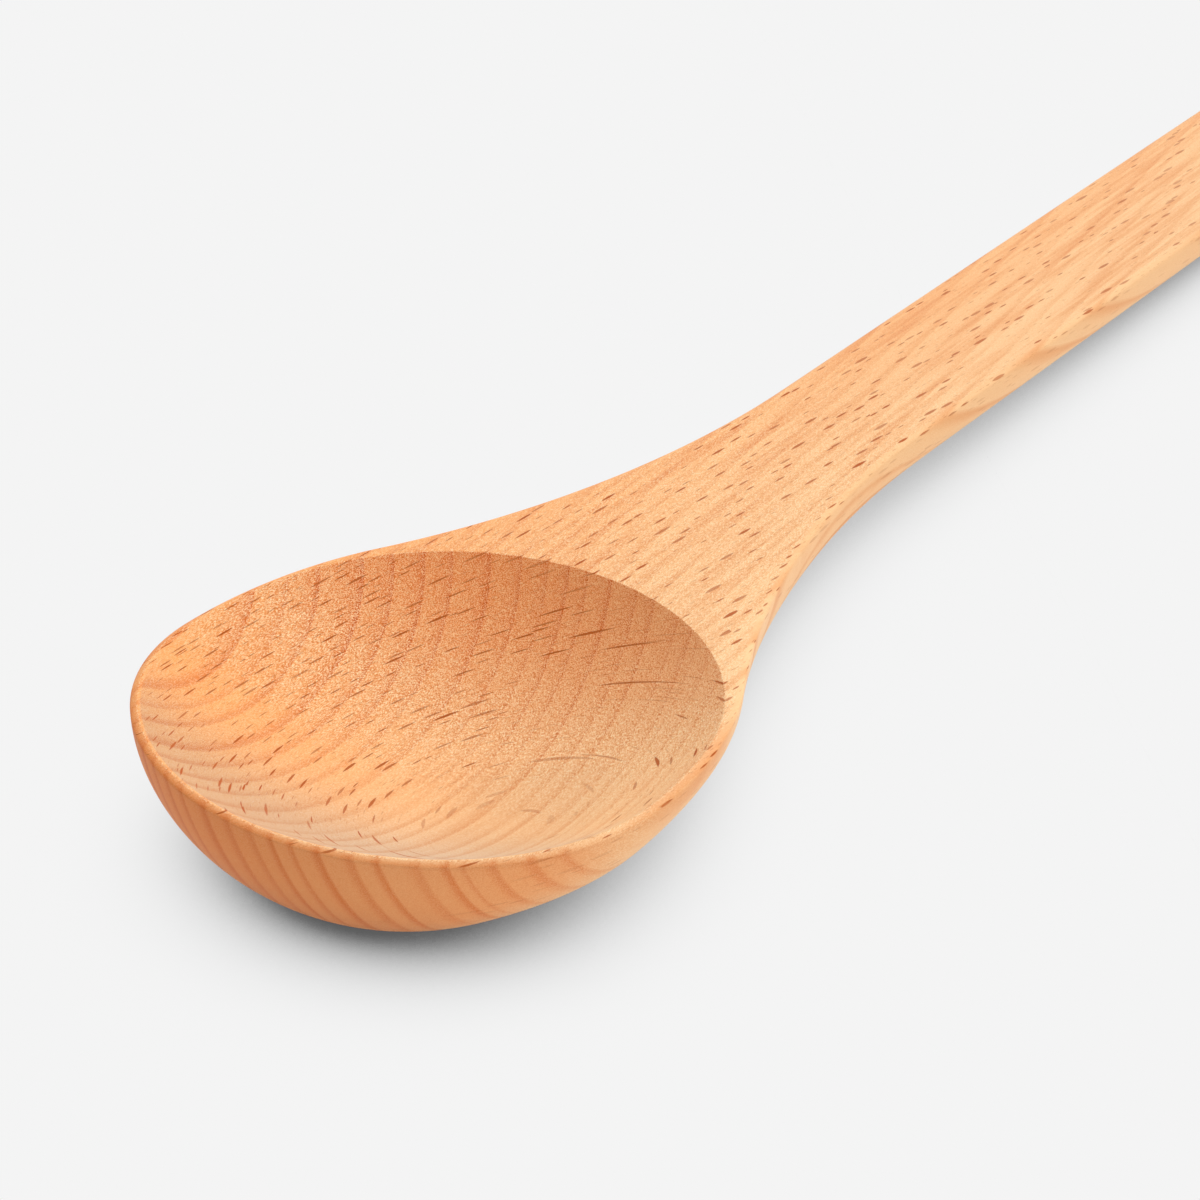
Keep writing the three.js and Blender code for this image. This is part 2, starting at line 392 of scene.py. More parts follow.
STRIP = np.stack([LOOP, HOLLOW[0]])
POINTS, FACES, TOOLED = joined([
    (STRIP, True, False, TOOLED_CUT),
    (HOLLOW, True, False, TOOLED_CUT),
    (TOP, False, True, TOOLED_CUT),
    (SKIN, False, False, SANDED_OUTSIDE),
    (SKIN * MIRROR, False, True, SANDED_OUTSIDE),
])
print("welded surface:", len(POINTS), "points and", len(FACES), "faces")

# %% [markdown]
# ## Hand finish and rest
# The rim of a hand-finished bowl is never quite level: on one side it stands a little proud of the
# handle. A smooth lift of the finished points does this without touching the formulas. The spoon is then
# laid down as it rests: on its belly and on the end of its handle, which tips the flat top by a small
# angle.

# %% Hand finish of the rim
LIFT = 0.65
LIFT_DEPTH = 10.0


def lifted(points):
    """Raises the rim in step with the distance to one side, fading to the middle, the neck and downwards."""
    along, side, up = points.T
    outwards = ease(np.hypot(np.minimum(along, 0) / TIP_REACH, side / HALF_BOWL))
    near_rim = outwards * ease(1 - along / NECK_REACH)
    raised = points.copy()
    raised[:, 2] += LIFT * np.clip(-side / HALF_BOWL, 0, 1) * near_rim * ease(1 + up / LIFT_DEPTH)
    return raised


POINTS = lifted(POINTS)
print("rim raised by up to", round(POINTS[:, 2].max(), 2), "mm")

# %% Lay the spoon down
HEEL = END - END_NOSE
LINE_STEPS = 1200

belly_line = np.linspace(-TIP_REACH, KEEL_REACH, LINE_STEPS)
rises = (depth_at(belly_line) - depth_at(HEEL)) / (HEEL - belly_line)
TILT = math.atan(rises.max())
TIPPED = np.array(Matrix.Rotation(TILT, 3, "Y"))
turned = POINTS @ TIPPED.T
REST_SHIFT = np.array([-(turned[:, 0].min() + turned[:, 0].max()) / 2, 0.0, -turned[:, 2].min()])


def at_rest(points):
    """Turns points of the drawing by the rest tilt and moves them onto the table, in metres."""
    return (np.asarray(points, float) @ TIPPED.T + REST_SHIFT) * MM


print("tilt", round(math.degrees(TILT), 3), "degrees, shift", np.round(REST_SHIFT, 3), "mm")

# %% Mesh of the spoon
mesh = bpy.data.meshes.new("carved_spoon")
mesh.from_pydata(at_rest(POINTS).tolist(), [], FACES.tolist())
mesh.polygons.foreach_set("use_smooth", np.ones(len(FACES), bool))
mesh.attributes.new("tooled", "FLOAT", "POINT").data.foreach_set("value", TOOLED.astype(np.float32))
mesh.update()
spoon = bpy.data.objects.new("carved_spoon", mesh)
bpy.context.scene.collection.objects.link(spoon)
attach(spoon, "root")
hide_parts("spoon")
low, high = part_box("spoon")
print("packed box", np.round(np.array(high - low) / MM, 2), "mm")
print("visual box", np.round(np.array(spoon.dimensions) / MM, 2), "mm")

# %% [markdown]
# ## Beech
# Seen through, the wood is a stack of growth rings round a heart line that runs beside the spoon, with
# fibres along it and thin ray sheets standing out from it like spokes. A picture could be wrapped over
# the spoon, but then bowl, rim and handle would not belong to one board. A solid texture is carved with
# the shape: each face shows the rings, the fibres and the rays as its own cut through them.


# %% Helpers for node trees
def put(tree, target, value):
    """Links a socket to an input, or sets the input to a plain value."""
    if isinstance(value, bpy.types.NodeSocket):
        tree.links.new(value, target)
    else:
        target.default_value = value


def group(name, vectors, numbers, outputs):
    """A new shader node group with vector and number inputs, number outputs, and its two end nodes."""
    tree = bpy.data.node_groups.new(name, "ShaderNodeTree")
    for socket in vectors:
        tree.interface.new_socket(socket, in_out="INPUT", socket_type="NodeSocketVector")
    for socket in numbers:
        tree.interface.new_socket(socket, in_out="INPUT", socket_type="NodeSocketFloat")
    for socket in outputs:
        tree.interface.new_socket(socket, in_out="OUTPUT", socket_type="NodeSocketFloat")
    return tree, tree.nodes.new("NodeGroupInput"), tree.nodes.new("NodeGroupOutput")


print("node trees can be linked and grouped")


# %% Helpers for sums
def calc(tree, operation, *values):
    """One Math node on numbers or sockets."""
    node = tree.nodes.new("ShaderNodeMath")
    node.operation = operation
    for i, value in enumerate(values):
        put(tree, node.inputs[i], value)
    return node.outputs[0]


def times(tree, first, *others):
    """Product of two or more sockets or numbers."""
    product = first
    for other in others:
        product = calc(tree, "MULTIPLY", product, other)
    return product


print("node trees can add and multiply")


# %% Helpers for vectors and noise
def vector(tree, along, across, up):
    """Three numbers or sockets as one vector."""
    node = tree.nodes.new("ShaderNodeCombineXYZ")
    for i, value in enumerate((along, across, up)):
        put(tree, node.inputs[i], value)
    return node.outputs[0]


def parts(tree, whole):
    """The three numbers of a vector."""
    node = tree.nodes.new("ShaderNodeSeparateXYZ")
    put(tree, node.inputs[0], whole)
    return node.outputs


def noise(tree, where, detail, roughness):
    """Noise of about one feature for each unit of the given coordinates, from 0 to 1."""
    node = tree.nodes.new("ShaderNodeTexNoise")
    put(tree, node.inputs["Vector"], where)
    node.inputs["Scale"].default_value = 1.0
    node.inputs["Detail"].default_value = detail
    node.inputs["Roughness"].default_value = roughness
    return node.outputs["Fac"]


print("node trees can split places and make noise")


# %% [markdown]
# ### Where a point lies in the tree
# The heart line passes beside and under the spoon and leans a little against the handle. From it come
# two measures in millimetres for every point: out from the heart, and round it. The places along the spoon
# and to its side are kept too, because the fibres run nearly along the spoon and some marks follow the
# board.

# %% Tree coordinates
HEART_SIDE = 72.3
HEART_DEPTH = -33.2
HEART_SIDE_LEAN = 0.0926
HEART_DEPTH_LEAN = -0.0874
MEAN_RADIUS = 78.0
WOBBLE = 0.5
WOBBLE_ALONG = 0.02
WOBBLE_ACROSS = 0.06
WOBBLE_DETAIL = 1.0
WOBBLE_ROUGHNESS = 0.5
NOISE_MEAN = 0.5


def tree_coordinates():
    """Along and Side are the drawing's own places.

    Out is the distance from the heart, bent a little by noise.
    Round is the angle about the heart times a mean radius.
    """
    tree, start, end = group("tree_coordinates", ["Place"], [], ["Along", "Out", "Round", "Side"])
    back = tree.nodes.new("ShaderNodeMapping")
    back.inputs["Scale"].default_value = (1 / MM,) * 3
    back.inputs["Rotation"].default_value = (0, -TILT, 0)
    back.inputs["Location"].default_value = -REST_SHIFT @ TIPPED
    put(tree, back.inputs["Vector"], start.outputs["Place"])
    along, side, up = parts(tree, back.outputs["Vector"])
    heart_side = calc(tree, "MULTIPLY_ADD", along, HEART_SIDE_LEAN, HEART_SIDE)
    heart_up = calc(tree, "MULTIPLY_ADD", along, HEART_DEPTH_LEAN, HEART_DEPTH)
    across = calc(tree, "SUBTRACT", heart_side, side)
    above = calc(tree, "SUBTRACT", up, heart_up)
    square = calc(tree, "MULTIPLY_ADD", across, across, times(tree, above, above))
    wobble_at = vector(
        tree,
        times(tree, along, WOBBLE_ALONG),
        times(tree, side, WOBBLE_ACROSS),
        times(tree, up, WOBBLE_ACROSS),
    )
    wobble = noise(tree, wobble_at, WOBBLE_DETAIL, WOBBLE_ROUGHNESS)
    bend = calc(tree, "SUBTRACT", wobble, NOISE_MEAN)
    put(tree, end.inputs["Along"], along)
    put(tree, end.inputs["Out"], calc(tree, "MULTIPLY_ADD", bend, WOBBLE, calc(tree, "SQRT", square)))
    put(tree, end.inputs["Round"], times(tree, calc(tree, "ARCTAN2", above, across), MEAN_RADIUS))
    put(tree, end.inputs["Side"], side)
    return tree


TREE = tree_coordinates()
print("made node group", TREE.name)

# %% [markdown]
# ### Growth rings
# Each ring starts pale, darkens slowly and stops at a sharp line, which sanding softens to a band. The
# widths run from the inside outwards. Those in the middle of the list were fitted to rings traced in the
# photograph, and the first four and the last nine are guesses for rings that don't show. A curve turns
# the distance from the heart into a ring count, whose fraction is the place inside a ring. A plain wave
# texture would make all rings alike.


# %% Smooth step
def step(tree, value, low, high):
    """A smooth rise from 0 at low to 1 at high, or a fall where low is the greater."""
    node = tree.nodes.new("ShaderNodeMapRange")
    node.interpolation_type = "SMOOTHSTEP"
    put(tree, node.inputs["Value"], value)
    put(tree, node.inputs["From Min"], low)
    put(tree, node.inputs["From Max"], high)
    return node.outputs["Result"]


print("node trees can rise smoothly")

# %% Ring count
FIRST_RING = 46.5
RING_WIDTHS = (2.2, 2.6, 2.4, 1.9, 1.4, 1.5, 2.7, 2.1, 2.4, 2.3, 3.4, 3.0, 2.7, 2.3, 2.2, 2.9, 3.3, 2.4,
               3.6, 2.3, 1.2, 2.4, 2.8, 2.1, 4.8, 2.6, 2.2, 2.9, 2.5, 2.0, 2.7)
RING_COUNT = len(RING_WIDTHS)
RING_EDGES = FIRST_RING + np.concatenate([[0.0], np.cumsum(RING_WIDTHS)])
LATE_PLACE = (0.25, 1.0)
LINE_PLACE = (0.8, 0.97)
BAND_START = 0.5
BAND_PEAK = 0.87


def growth_rings():
    """Late is a ring's slow darkening, Line its sharp end, Band its soft end, Ring a random share of each."""
    tree, start, end = group("growth_rings", [], ["Out"], ["Late", "Line", "Band", "Ring"])
    reach = RING_EDGES[-1] - RING_EDGES[0]
    share = calc(tree, "DIVIDE", calc(tree, "SUBTRACT", start.outputs["Out"], FIRST_RING), reach)
    curve = tree.nodes.new("ShaderNodeFloatCurve")
    put(tree, curve.inputs["Value"], share)
    line = curve.mapping.curves[0]
    edges = (RING_EDGES[1:-1] - FIRST_RING) / reach
    for edge, count in zip(edges, np.arange(1, RING_COUNT) / RING_COUNT):
        line.points.new(edge, count)
    for point in line.points:
        point.handle_type = "VECTOR"
    curve.mapping.update()
    count = times(tree, curve.outputs["Value"], float(RING_COUNT))
    place = calc(tree, "FRACT", count)
    chance = tree.nodes.new("ShaderNodeTexWhiteNoise")
    chance.noise_dimensions = "1D"
    put(tree, chance.inputs["W"], calc(tree, "FLOOR", count))
    band = times(tree, step(tree, place, BAND_START, BAND_PEAK), step(tree, place, 1.0, BAND_PEAK))
    put(tree, end.inputs["Late"], step(tree, place, *LATE_PLACE))
    put(tree, end.inputs["Line"], step(tree, place, *LINE_PLACE))
    put(tree, end.inputs["Band"], band)
    put(tree, end.inputs["Ring"], chance.outputs["Value"])
    return tree


RINGS = growth_rings()
print("made node group", RINGS.name, "with", RING_COUNT, "rings out to", round(RING_EDGES[-1], 1), "mm")

# %% [markdown]
# ### Rays
# Beech shows its rays as short brown dashes where a face cuts across them, and as long fine lines where a
# face runs along them. Each ray is a lens: a few millimetres tall along the fibres, a fraction of a
# millimetre thick and long away from the heart. A cell texture laid in tree coordinates places one lens
# in each cell. Painted dashes would not change with the cut.


# %% Shares and vectors
def between(tree, share, low, high):
    """Low at a share of 0, high at a share of 1, in proportion between them."""
    return calc(tree, "MULTIPLY_ADD", share, high - low, low)


def vector_calc(tree, operation, *values):
    """One Vector Math node: a dot product gives a number, the other operations give a vector."""
    node = tree.nodes.new("ShaderNodeVectorMath")
    node.operation = operation
    for i, value in enumerate(values):
        put(tree, node.inputs[i], value)
    return node.outputs["Value" if operation == "DOT_PRODUCT" else "Vector"]


print("node trees can work with shares and vectors")

# %% Ray lenses
LENS_SIZE = (0.45, 1.15)
LENS_EDGE = (1.1, 0.65)
LENS_DEPTH = (0.6, 1.0)


def rays():
    """One lens in each cell: the scaled distance from its middle, one inside and zero outside.

    It adds the square of Along, the size of Round and the square of Out, each over the lens's own size.
    """
    sizes = ["Tall", "Thick", "Long", "Cell Along", "Cell Round", "Cell Out"]
    tree, start, end = group("ray_lenses", [], ["Along", "Out", "Round"] + sizes, ["Ray"])
    given = start.outputs
    cells = vector(
        tree,
        calc(tree, "DIVIDE", given["Along"], given["Cell Along"]),
        calc(tree, "DIVIDE", given["Round"], given["Cell Round"]),
        calc(tree, "DIVIDE", given["Out"], given["Cell Out"]),
    )
    scatter = tree.nodes.new("ShaderNodeTexVoronoi")
    put(tree, scatter.inputs["Vector"], cells)
    scatter.inputs["Scale"].default_value = 1.0
    off = parts(tree, vector_calc(tree, "SUBTRACT", cells, scatter.outputs["Position"]))
    chance = tree.nodes.new("ShaderNodeSeparateColor")
    put(tree, chance.inputs[0], scatter.outputs["Color"])
    size = between(tree, chance.outputs[0], *LENS_SIZE)
    tall = times(tree, given["Tall"], size)
    thick = times(tree, given["Thick"], size)
    along = calc(tree, "DIVIDE", times(tree, off[0], given["Cell Along"]), tall)
    around = calc(tree, "DIVIDE", times(tree, off[1], given["Cell Round"]), thick)
    out = calc(tree, "DIVIDE", times(tree, off[2], given["Cell Out"]), given["Long"])
    flat = calc(tree, "ADD", calc(tree, "ABSOLUTE", around), times(tree, along, along))
    far = calc(tree, "MULTIPLY_ADD", out, out, flat)
    depth = between(tree, chance.outputs[1], *LENS_DEPTH)
    put(tree, end.inputs["Ray"], times(tree, step(tree, far, *LENS_EDGE), depth))
    return tree


RAYS = rays()
print("made node group", RAYS.name)

# %% [markdown]
# ### Fibres and pores
# Between rings and rays the wood is a mat of fine fibres and pores. Cut lengthwise they are short
# streaks, cut across they are specks. Noise that is stretched along the fibres gives both from one solid.
# Longer streaks are set out by the side of the board instead of the angle round the heart, so they run
# straight along the handle.

# %% Fibre noise
FIBRE_LENGTH = 0.35
FIBRE_WIDTH = 0.09
STREAK_LENGTH = 45.0
STREAK_WIDTH = 0.9
STREAK_DEPTH = 3.6
PATCH_LENGTH = 60.0
PATCH_WIDTH = 9.0
PLAIN_DETAIL = 1.0
STREAK_DETAIL = 3.0
FIBRE_ROUGHNESS = 0.6


def fibres():
    """Fine is the mat of fibres, Streak and Patch are slower changes of tone along the grain.

    Each is noise of the place along, the place across and the distance from the heart, divided by its sizes.
    """
    outputs = ["Fine", "Streak", "Patch"]
    tree, start, end = group("fibres", [], ["Along", "Out", "Round", "Side"], outputs)
    given = start.outputs
    sizes = {
        "Fine": (FIBRE_LENGTH, "Round", FIBRE_WIDTH, FIBRE_WIDTH, PLAIN_DETAIL),
        "Streak": (STREAK_LENGTH, "Side", STREAK_WIDTH, STREAK_DEPTH, STREAK_DETAIL),
        "Patch": (PATCH_LENGTH, "Round", PATCH_WIDTH, PATCH_WIDTH, PLAIN_DETAIL),
    }
    for name, (length, across, width, depth, detail) in sizes.items():
        where = vector(
            tree,
            calc(tree, "DIVIDE", given["Along"], length),
            calc(tree, "DIVIDE", given[across], width),
            calc(tree, "DIVIDE", given["Out"], depth),
        )
        put(tree, end.inputs[name], noise(tree, where, detail, FIBRE_ROUGHNESS))
    return tree


FIBRES = fibres()
print("made node group", FIBRES.name)

# %% [markdown]
# ### How the face cuts the wood
# A face that cuts the fibres across is deeper in tone, partly from the oil that end grain takes up and
# partly as painted shade, and one cut against them is torn into specks. A ray that lies flat in the face
# is thin and lets the wood through. All this follows from the angle between the face and the tree's own
# directions, so it needs no painted mask and stays right when the shape is changed. The same angles set
# the painted shade and painted sheen on the walls of the hollow.

# %% Cut of the face
AGAINST_FIBRES = (0.05, -0.35)
DEEP_IN_FIBRES = (-0.05, -0.7)
WITH_FIBRES = (0.0, 0.4)


def cut_of_face():
    """Shares of the normal: End along the fibres, Flat round the heart, Face away from it, Up to the sky.

    Against is one on walls that were cut against the fibres, Deep on the steepest of these, and With on walls
    that were cut with the fibres.
    """
    outputs = ["End", "Flat", "Face", "Up", "Against", "Deep", "With"]
    tree, start, end = group("cut_of_face", ["Place", "Normal"], [], outputs)
    normal = start.outputs["Normal"]
    fibre = TIPPED @ np.array([1.0, HEART_SIDE_LEAN, HEART_DEPTH_LEAN])
    fibre = fibre / np.linalg.norm(fibre)
    heart = at_rest([[0.0, HEART_SIDE, HEART_DEPTH]])[0]
    along = vector_calc(tree, "DOT_PRODUCT", normal, fibre)
    out = vector_calc(tree, "SUBTRACT", start.outputs["Place"], heart)
    around = vector_calc(tree, "NORMALIZE", vector_calc(tree, "CROSS_PRODUCT", out, fibre))
    flat = vector_calc(tree, "DOT_PRODUCT", around, normal)
    squares = calc(tree, "MULTIPLY_ADD", along, along, times(tree, flat, flat))
    rest = calc(tree, "MAXIMUM", calc(tree, "SUBTRACT", 1.0, squares), 0.0)
    put(tree, end.inputs["End"], calc(tree, "ABSOLUTE", along))
    put(tree, end.inputs["Flat"], calc(tree, "ABSOLUTE", flat))
    put(tree, end.inputs["Face"], calc(tree, "SQRT", rest))
    put(tree, end.inputs["Up"], parts(tree, normal)[2])
    put(tree, end.inputs["Against"], step(tree, along, *AGAINST_FIBRES))
    put(tree, end.inputs["Deep"], step(tree, along, *DEEP_IN_FIBRES))
    put(tree, end.inputs["With"], step(tree, along, *WITH_FIBRES))
    return tree


CUT = cut_of_face()
print("made node group", CUT.name)

# %% [markdown]
# ### The finish
# The wood is sanded and oiled to a soft satin. Its colour is laid up in layers: the board's own tone, the
# rings, the marks of the tools on the fibres with painted glints and shade, the walls of the hollow with
# painted shade and sheen, and the rays over all. One long chain of nodes would give the same picture, but
# a short cell for each layer can be read and changed by itself.


# %% Helpers for a material
def use(tree, made, **values):
    """Places a node group and sets or links its inputs by name."""
    node = tree.nodes.new("ShaderNodeGroup")
    node.node_tree = made
    for name, value in values.items():
        put(tree, node.inputs[name], value)
    return node.outputs


def mix(tree, share, first, second, blend="MIX"):
    """One colour over another by a share from 0 to 1."""
    node = tree.nodes.new("ShaderNodeMix")
    node.data_type = "RGBA"
    node.blend_type = blend
    put(tree, node.inputs[0], share)
    put(tree, node.inputs[6], first)
    put(tree, node.inputs[7], second)
    return node.outputs[2]


def stain(tree, share, wood, colour):
    """The wood multiplied by a colour, by a share from 0 to 1."""
    return mix(tree, share, wood, colour, "MULTIPLY")


print("materials can use groups and lay colours")

# %% Start of the beech material
beech = bpy.data.materials.new("oiled_beech")
beech.use_nodes = True
layers = beech.node_tree
place = layers.nodes.new("ShaderNodeTexCoord").outputs["Object"]
normal = layers.nodes.new("ShaderNodeNewGeometry").outputs["Normal"]
tooled = layers.nodes.new("ShaderNodeAttribute")
tooled.attribute_name = "tooled"
cutter = tooled.outputs["Fac"]
at = use(layers, TREE, Place=place)
where = {"Along": at["Along"], "Out": at["Out"], "Round": at["Round"]}
cut = use(layers, CUT, Place=place, Normal=normal)
ring = use(layers, RINGS, Out=at["Out"])
fibre = use(layers, FIBRES, **where, Side=at["Side"])
print("started material", beech.name)

# %% [markdown]
# ### Board and rings
# One side of this board is warm and the other paler, and the change leans along the handle. The rings
# multiply that tone by the late wood's. In the tooled hollow they end in crisp lines, outside in soft
# bands, and they are fainter on the flat top and on faces that run along the rays.

# %% Tone of the board
WARM = (0.95, 0.43, 0.145, 1)
PALE = (0.955, 0.59, 0.302, 1)
WARM_SIDE = 26.0
PALE_SIDE = -22.0
BOARD_LEAN = -0.07

board = calc(layers, "MULTIPLY_ADD", at["Along"], BOARD_LEAN, at["Side"])
wood = mix(layers, step(layers, board, WARM_SIDE, PALE_SIDE), WARM, PALE)
print("board goes from", WARM[:3], "to", PALE[:3])

# %% Tone of the rings
LATE = (0.84, 0.52, 0.31, 1)
CRISP_LINE = 0.6
CRISP_LATE = 0.5
SOFT_BAND = 0.65
SOFT_LATE = 0.2
CUT_WITH_FIBRES = 0.25
FAINTEST_RING = 0.5
TOP_FACE = (0.993, 0.999)
TOP_RINGS = 0.7
QUARTER_FACE = (0.6, 0.92)
QUARTER_RINGS = 0.7

crisp = calc(layers, "MULTIPLY_ADD", ring["Line"], CRISP_LINE, times(layers, ring["Late"], CRISP_LATE))
soft = calc(layers, "MULTIPLY_ADD", ring["Band"], SOFT_BAND, times(layers, ring["Late"], SOFT_LATE))
against = between(layers, cut["Against"], CUT_WITH_FIBRES, 1.0)
sharp = times(layers, cutter, against)
late = calc(layers, "MULTIPLY_ADD", calc(layers, "SUBTRACT", crisp, soft), sharp, soft)
top = step(layers, cut["Up"], *TOP_FACE)
on_top = between(layers, top, 1.0, TOP_RINGS)
on_quarter = between(layers, step(layers, cut["Flat"], *QUARTER_FACE), 1.0, QUARTER_RINGS)
strength = times(layers, between(layers, ring["Ring"], FAINTEST_RING, 1.0), on_top, on_quarter)
wood = stain(layers, times(layers, late, strength), wood, LATE)
print("rings darken the wood by up to", LATE[:3])

# %% [markdown]
# ### Fibres under the tools
# Long streaks show where a face runs along the fibres, most on the planed top. The cutter tore the hollow
# and the neck into light and dark specks, more against the fibres than with them, while the outside and
# the handle are sanded nearly smooth. Bump alone would give specks only under a low lamp, so the light
# and shade of the torn fibres is painted into the colour too: the light specks are painted glints, and
# the dark specks are the pores' own colour with painted shade.

# %% Streaks and patches
STREAK_NOISE = (0.4, 0.7)
PATCH_NOISE = (0.3, 0.7)
LENGTHWISE = (0.5, 0.0)
STREAK_SHARE = 0.2
TOP_STREAK_SHARE = 0.6
PATCH_SHARE = 0.1

lengthwise = step(layers, cut["End"], *LENGTHWISE)
streaks_shown = times(layers, lengthwise, between(layers, top, STREAK_SHARE, TOP_STREAK_SHARE))
streak = step(layers, fibre["Streak"], *STREAK_NOISE)
patch = step(layers, fibre["Patch"], *PATCH_NOISE)
wood = stain(layers, times(layers, streak, streaks_shown), wood, LATE)
wood = stain(layers, times(layers, patch, PATCH_SHARE), wood, LATE)
print("streaks show by up to", TOP_STREAK_SHARE, "and patches by", PATCH_SHARE)

# %% Specks with painted glints and painted shade
FIBRE_GLINT = (1.0, 0.84, 0.54, 1)
PORE_AND_SHADE = (0.8, 0.56, 0.36, 1)
TORN_FACE = (0.2, 0.95)
TORN_LEAST = 1.0
TORN_MOST = 1.2
BOWL_GRAIN = (120.0, 55.0)
HANDLE_GRAIN_SHARE = 0.3
SANDED_GRAIN_SHARE = 0.2
GLINT_FIBRES = (0.5, 0.63)
PORE_AND_SHADE_FIBRES = (0.5, 0.35)

torn = between(layers, step(layers, cut["Face"], *TORN_FACE), TORN_LEAST, TORN_MOST)
bowl_end = between(layers, step(layers, at["Along"], *BOWL_GRAIN), HANDLE_GRAIN_SHARE, 1.0)
rough = times(layers, between(layers, cutter, SANDED_GRAIN_SHARE, 1.0), bowl_end, torn, against)
# Light specks: painted glints on the torn fibres.
wood = mix(layers, times(layers, step(layers, fibre["Fine"], *GLINT_FIBRES), rough), wood, FIBRE_GLINT)
# Dark specks: the pores' own colour with painted shade of the torn relief.
wood = stain(layers, times(layers, step(layers, fibre["Fine"], *PORE_AND_SHADE_FIBRES), rough), wood, PORE_AND_SHADE)
print("specks go from", PORE_AND_SHADE[:3], "to", FIBRE_GLINT[:3])

# %% [markdown]
# ### Walls of the hollow
# The wall at the neck, like the front of the bowl, cuts deep across the fibres and takes more oil, and as
# these faces are turned from the soft lamp their deeper colour also holds painted shade. The wall at the
# tip, cut with the fibres and facing the lamp, is painted darker and greyer: painted shade and a painted
# sheen. The near wall runs along the rays and is painted a little darker as painted shade. Masks could be
# painted for the walls, but the angle of the face already tells them apart.

# %% Tone, painted shade and painted sheen of the walls
END_GRAIN_OIL_AND_SHADE = (0.97, 0.67, 0.51, 1)
TIP_WALL_SHADE_AND_SHEEN = (0.67, 0.81, 1.12, 1)
TIP_SHADE_AND_SHEEN_SHARE = 0.9
NEAR_WALL_PAINTED_SHADE = (0.93, 0.92, 0.92, 1)
NEAR_WALL_SHADE_FACE = (0.955, 0.99)

# Faces turned to the tip: deeper tone of end grain's oil together with painted shade.
wood = stain(layers, cut["Deep"], wood, END_GRAIN_OIL_AND_SHADE)
# Tip wall: painted shade and a painted sheen, darker in red and greyer.
wood = stain(layers, times(layers, cut["With"], cutter, TIP_SHADE_AND_SHEEN_SHARE), wood, TIP_WALL_SHADE_AND_SHEEN)
# Near wall: painted shade, a little darker.
wood = stain(layers, times(layers, step(layers, cut["Flat"], *NEAR_WALL_SHADE_FACE), cutter), wood, NEAR_WALL_PAINTED_SHADE)
print("walls are multiplied by", END_GRAIN_OIL_AND_SHADE[:3], TIP_WALL_SHADE_AND_SHEEN[:3], NEAR_WALL_PAINTED_SHADE[:3])

# %% [markdown]
# ### Rays over the wood
# The rays lie over all the rest in brown, large dashes and small flecks from the same group. They are
# thin where they lie flat in a face, hardly show on steep sides and on end grain, and grow fainter along
# the handle. Each of these is a share of its own, and the product of the shares says how much of a ray
# shows.

# %% Sizes of dashes and flecks
DASH_THICKNESS = (0.04, 0.16)
FLECK_THICKNESS = (0.01, 0.06)
DASH = {"Tall": 1.5, "Long": 13.0, "Cell Along": 3.4, "Cell Round": 1.15, "Cell Out": 24.0}
FLECK = {"Tall": 0.55, "Long": 5.0, "Cell Along": 1.3, "Cell Round": 0.42, "Cell Out": 9.0}

slant = calc(layers, "SQRT", calc(layers, "SUBTRACT", 1.0, times(layers, cut["Flat"], cut["Flat"])))
dash = use(layers, RAYS, **where, **DASH, Thick=between(layers, slant, *DASH_THICKNESS))["Ray"]
fleck = use(layers, RAYS, **where, **FLECK, Thick=between(layers, slant, *FLECK_THICKNESS))["Ray"]
print("dashes are up to", 2 * DASH["Tall"] * LENS_SIZE[1], "mm tall")
print("flecks are up to", 2 * FLECK["Tall"] * LENS_SIZE[1], "mm tall")

# %% Tone of the rays
RAY_BROWN = (0.45, 0.075, 0.0, 1)
LYING_FACE = (0.945, 0.99)
LYING_SHARE = 0.35
UPPER_FACE = (0.0, 0.5)
UNDER_FACE = (-0.65, -0.95)
STEEP_SHARE = 0.25
END_GRAIN = (0.85, 0.55)
FAR_HANDLE = (70.0, 200.0)
FAR_SHARE = 0.65
FLECK_SHARE = 0.35

by_lying = between(layers, step(layers, cut["Flat"], *LYING_FACE), 1.0, LYING_SHARE)
upper_face = step(layers, cut["Up"], *UPPER_FACE)
under_face = step(layers, cut["Up"], *UNDER_FACE)
by_steepness = between(layers, calc(layers, "MAXIMUM", upper_face, under_face), STEEP_SHARE, 1.0)
by_end_grain = step(layers, cut["End"], *END_GRAIN)
by_distance = between(layers, step(layers, at["Along"], *FAR_HANDLE), 1.0, FAR_SHARE)
rays_shown = times(layers, by_lying, by_steepness, by_end_grain, by_distance)
wood = mix(layers, times(layers, fleck, rays_shown, FLECK_SHARE), wood, RAY_BROWN)
wood = mix(layers, times(layers, dash, rays_shown), wood, RAY_BROWN)
print("rays are", RAY_BROWN[:3])

# %% [markdown]
# ### Satin surface
# Oiled wood has a low, broad sheen that is duller where the fibres are torn. A clear coat would look like
# varnish, so the shader's own gloss is kept low, and the fibres lift the surface by a few hundredths of a
# millimetre.

# %% Satin surface
SATIN_ROUGHNESS = (0.45, 0.6)
SATIN_LEVEL = 0.1
RELIEF_STRENGTH = 0.5
RELIEF_HEIGHT = 0.04 * MM

shader = layers.nodes["Principled BSDF"]
put(layers, shader.inputs["Base Color"], wood)
put(layers, shader.inputs["Roughness"], between(layers, rough, *SATIN_ROUGHNESS))
shader.inputs["Specular IOR Level"].default_value = SATIN_LEVEL
relief = layers.nodes.new("ShaderNodeBump")
relief.inputs["Strength"].default_value = RELIEF_STRENGTH
relief.inputs["Distance"].default_value = RELIEF_HEIGHT
put(layers, relief.inputs["Height"], fibre["Fine"])
put(layers, shader.inputs["Normal"], relief.outputs["Normal"])
spoon.data.materials.append(beech)
print("finished material", beech.name, "with", len(layers.nodes), "nodes")

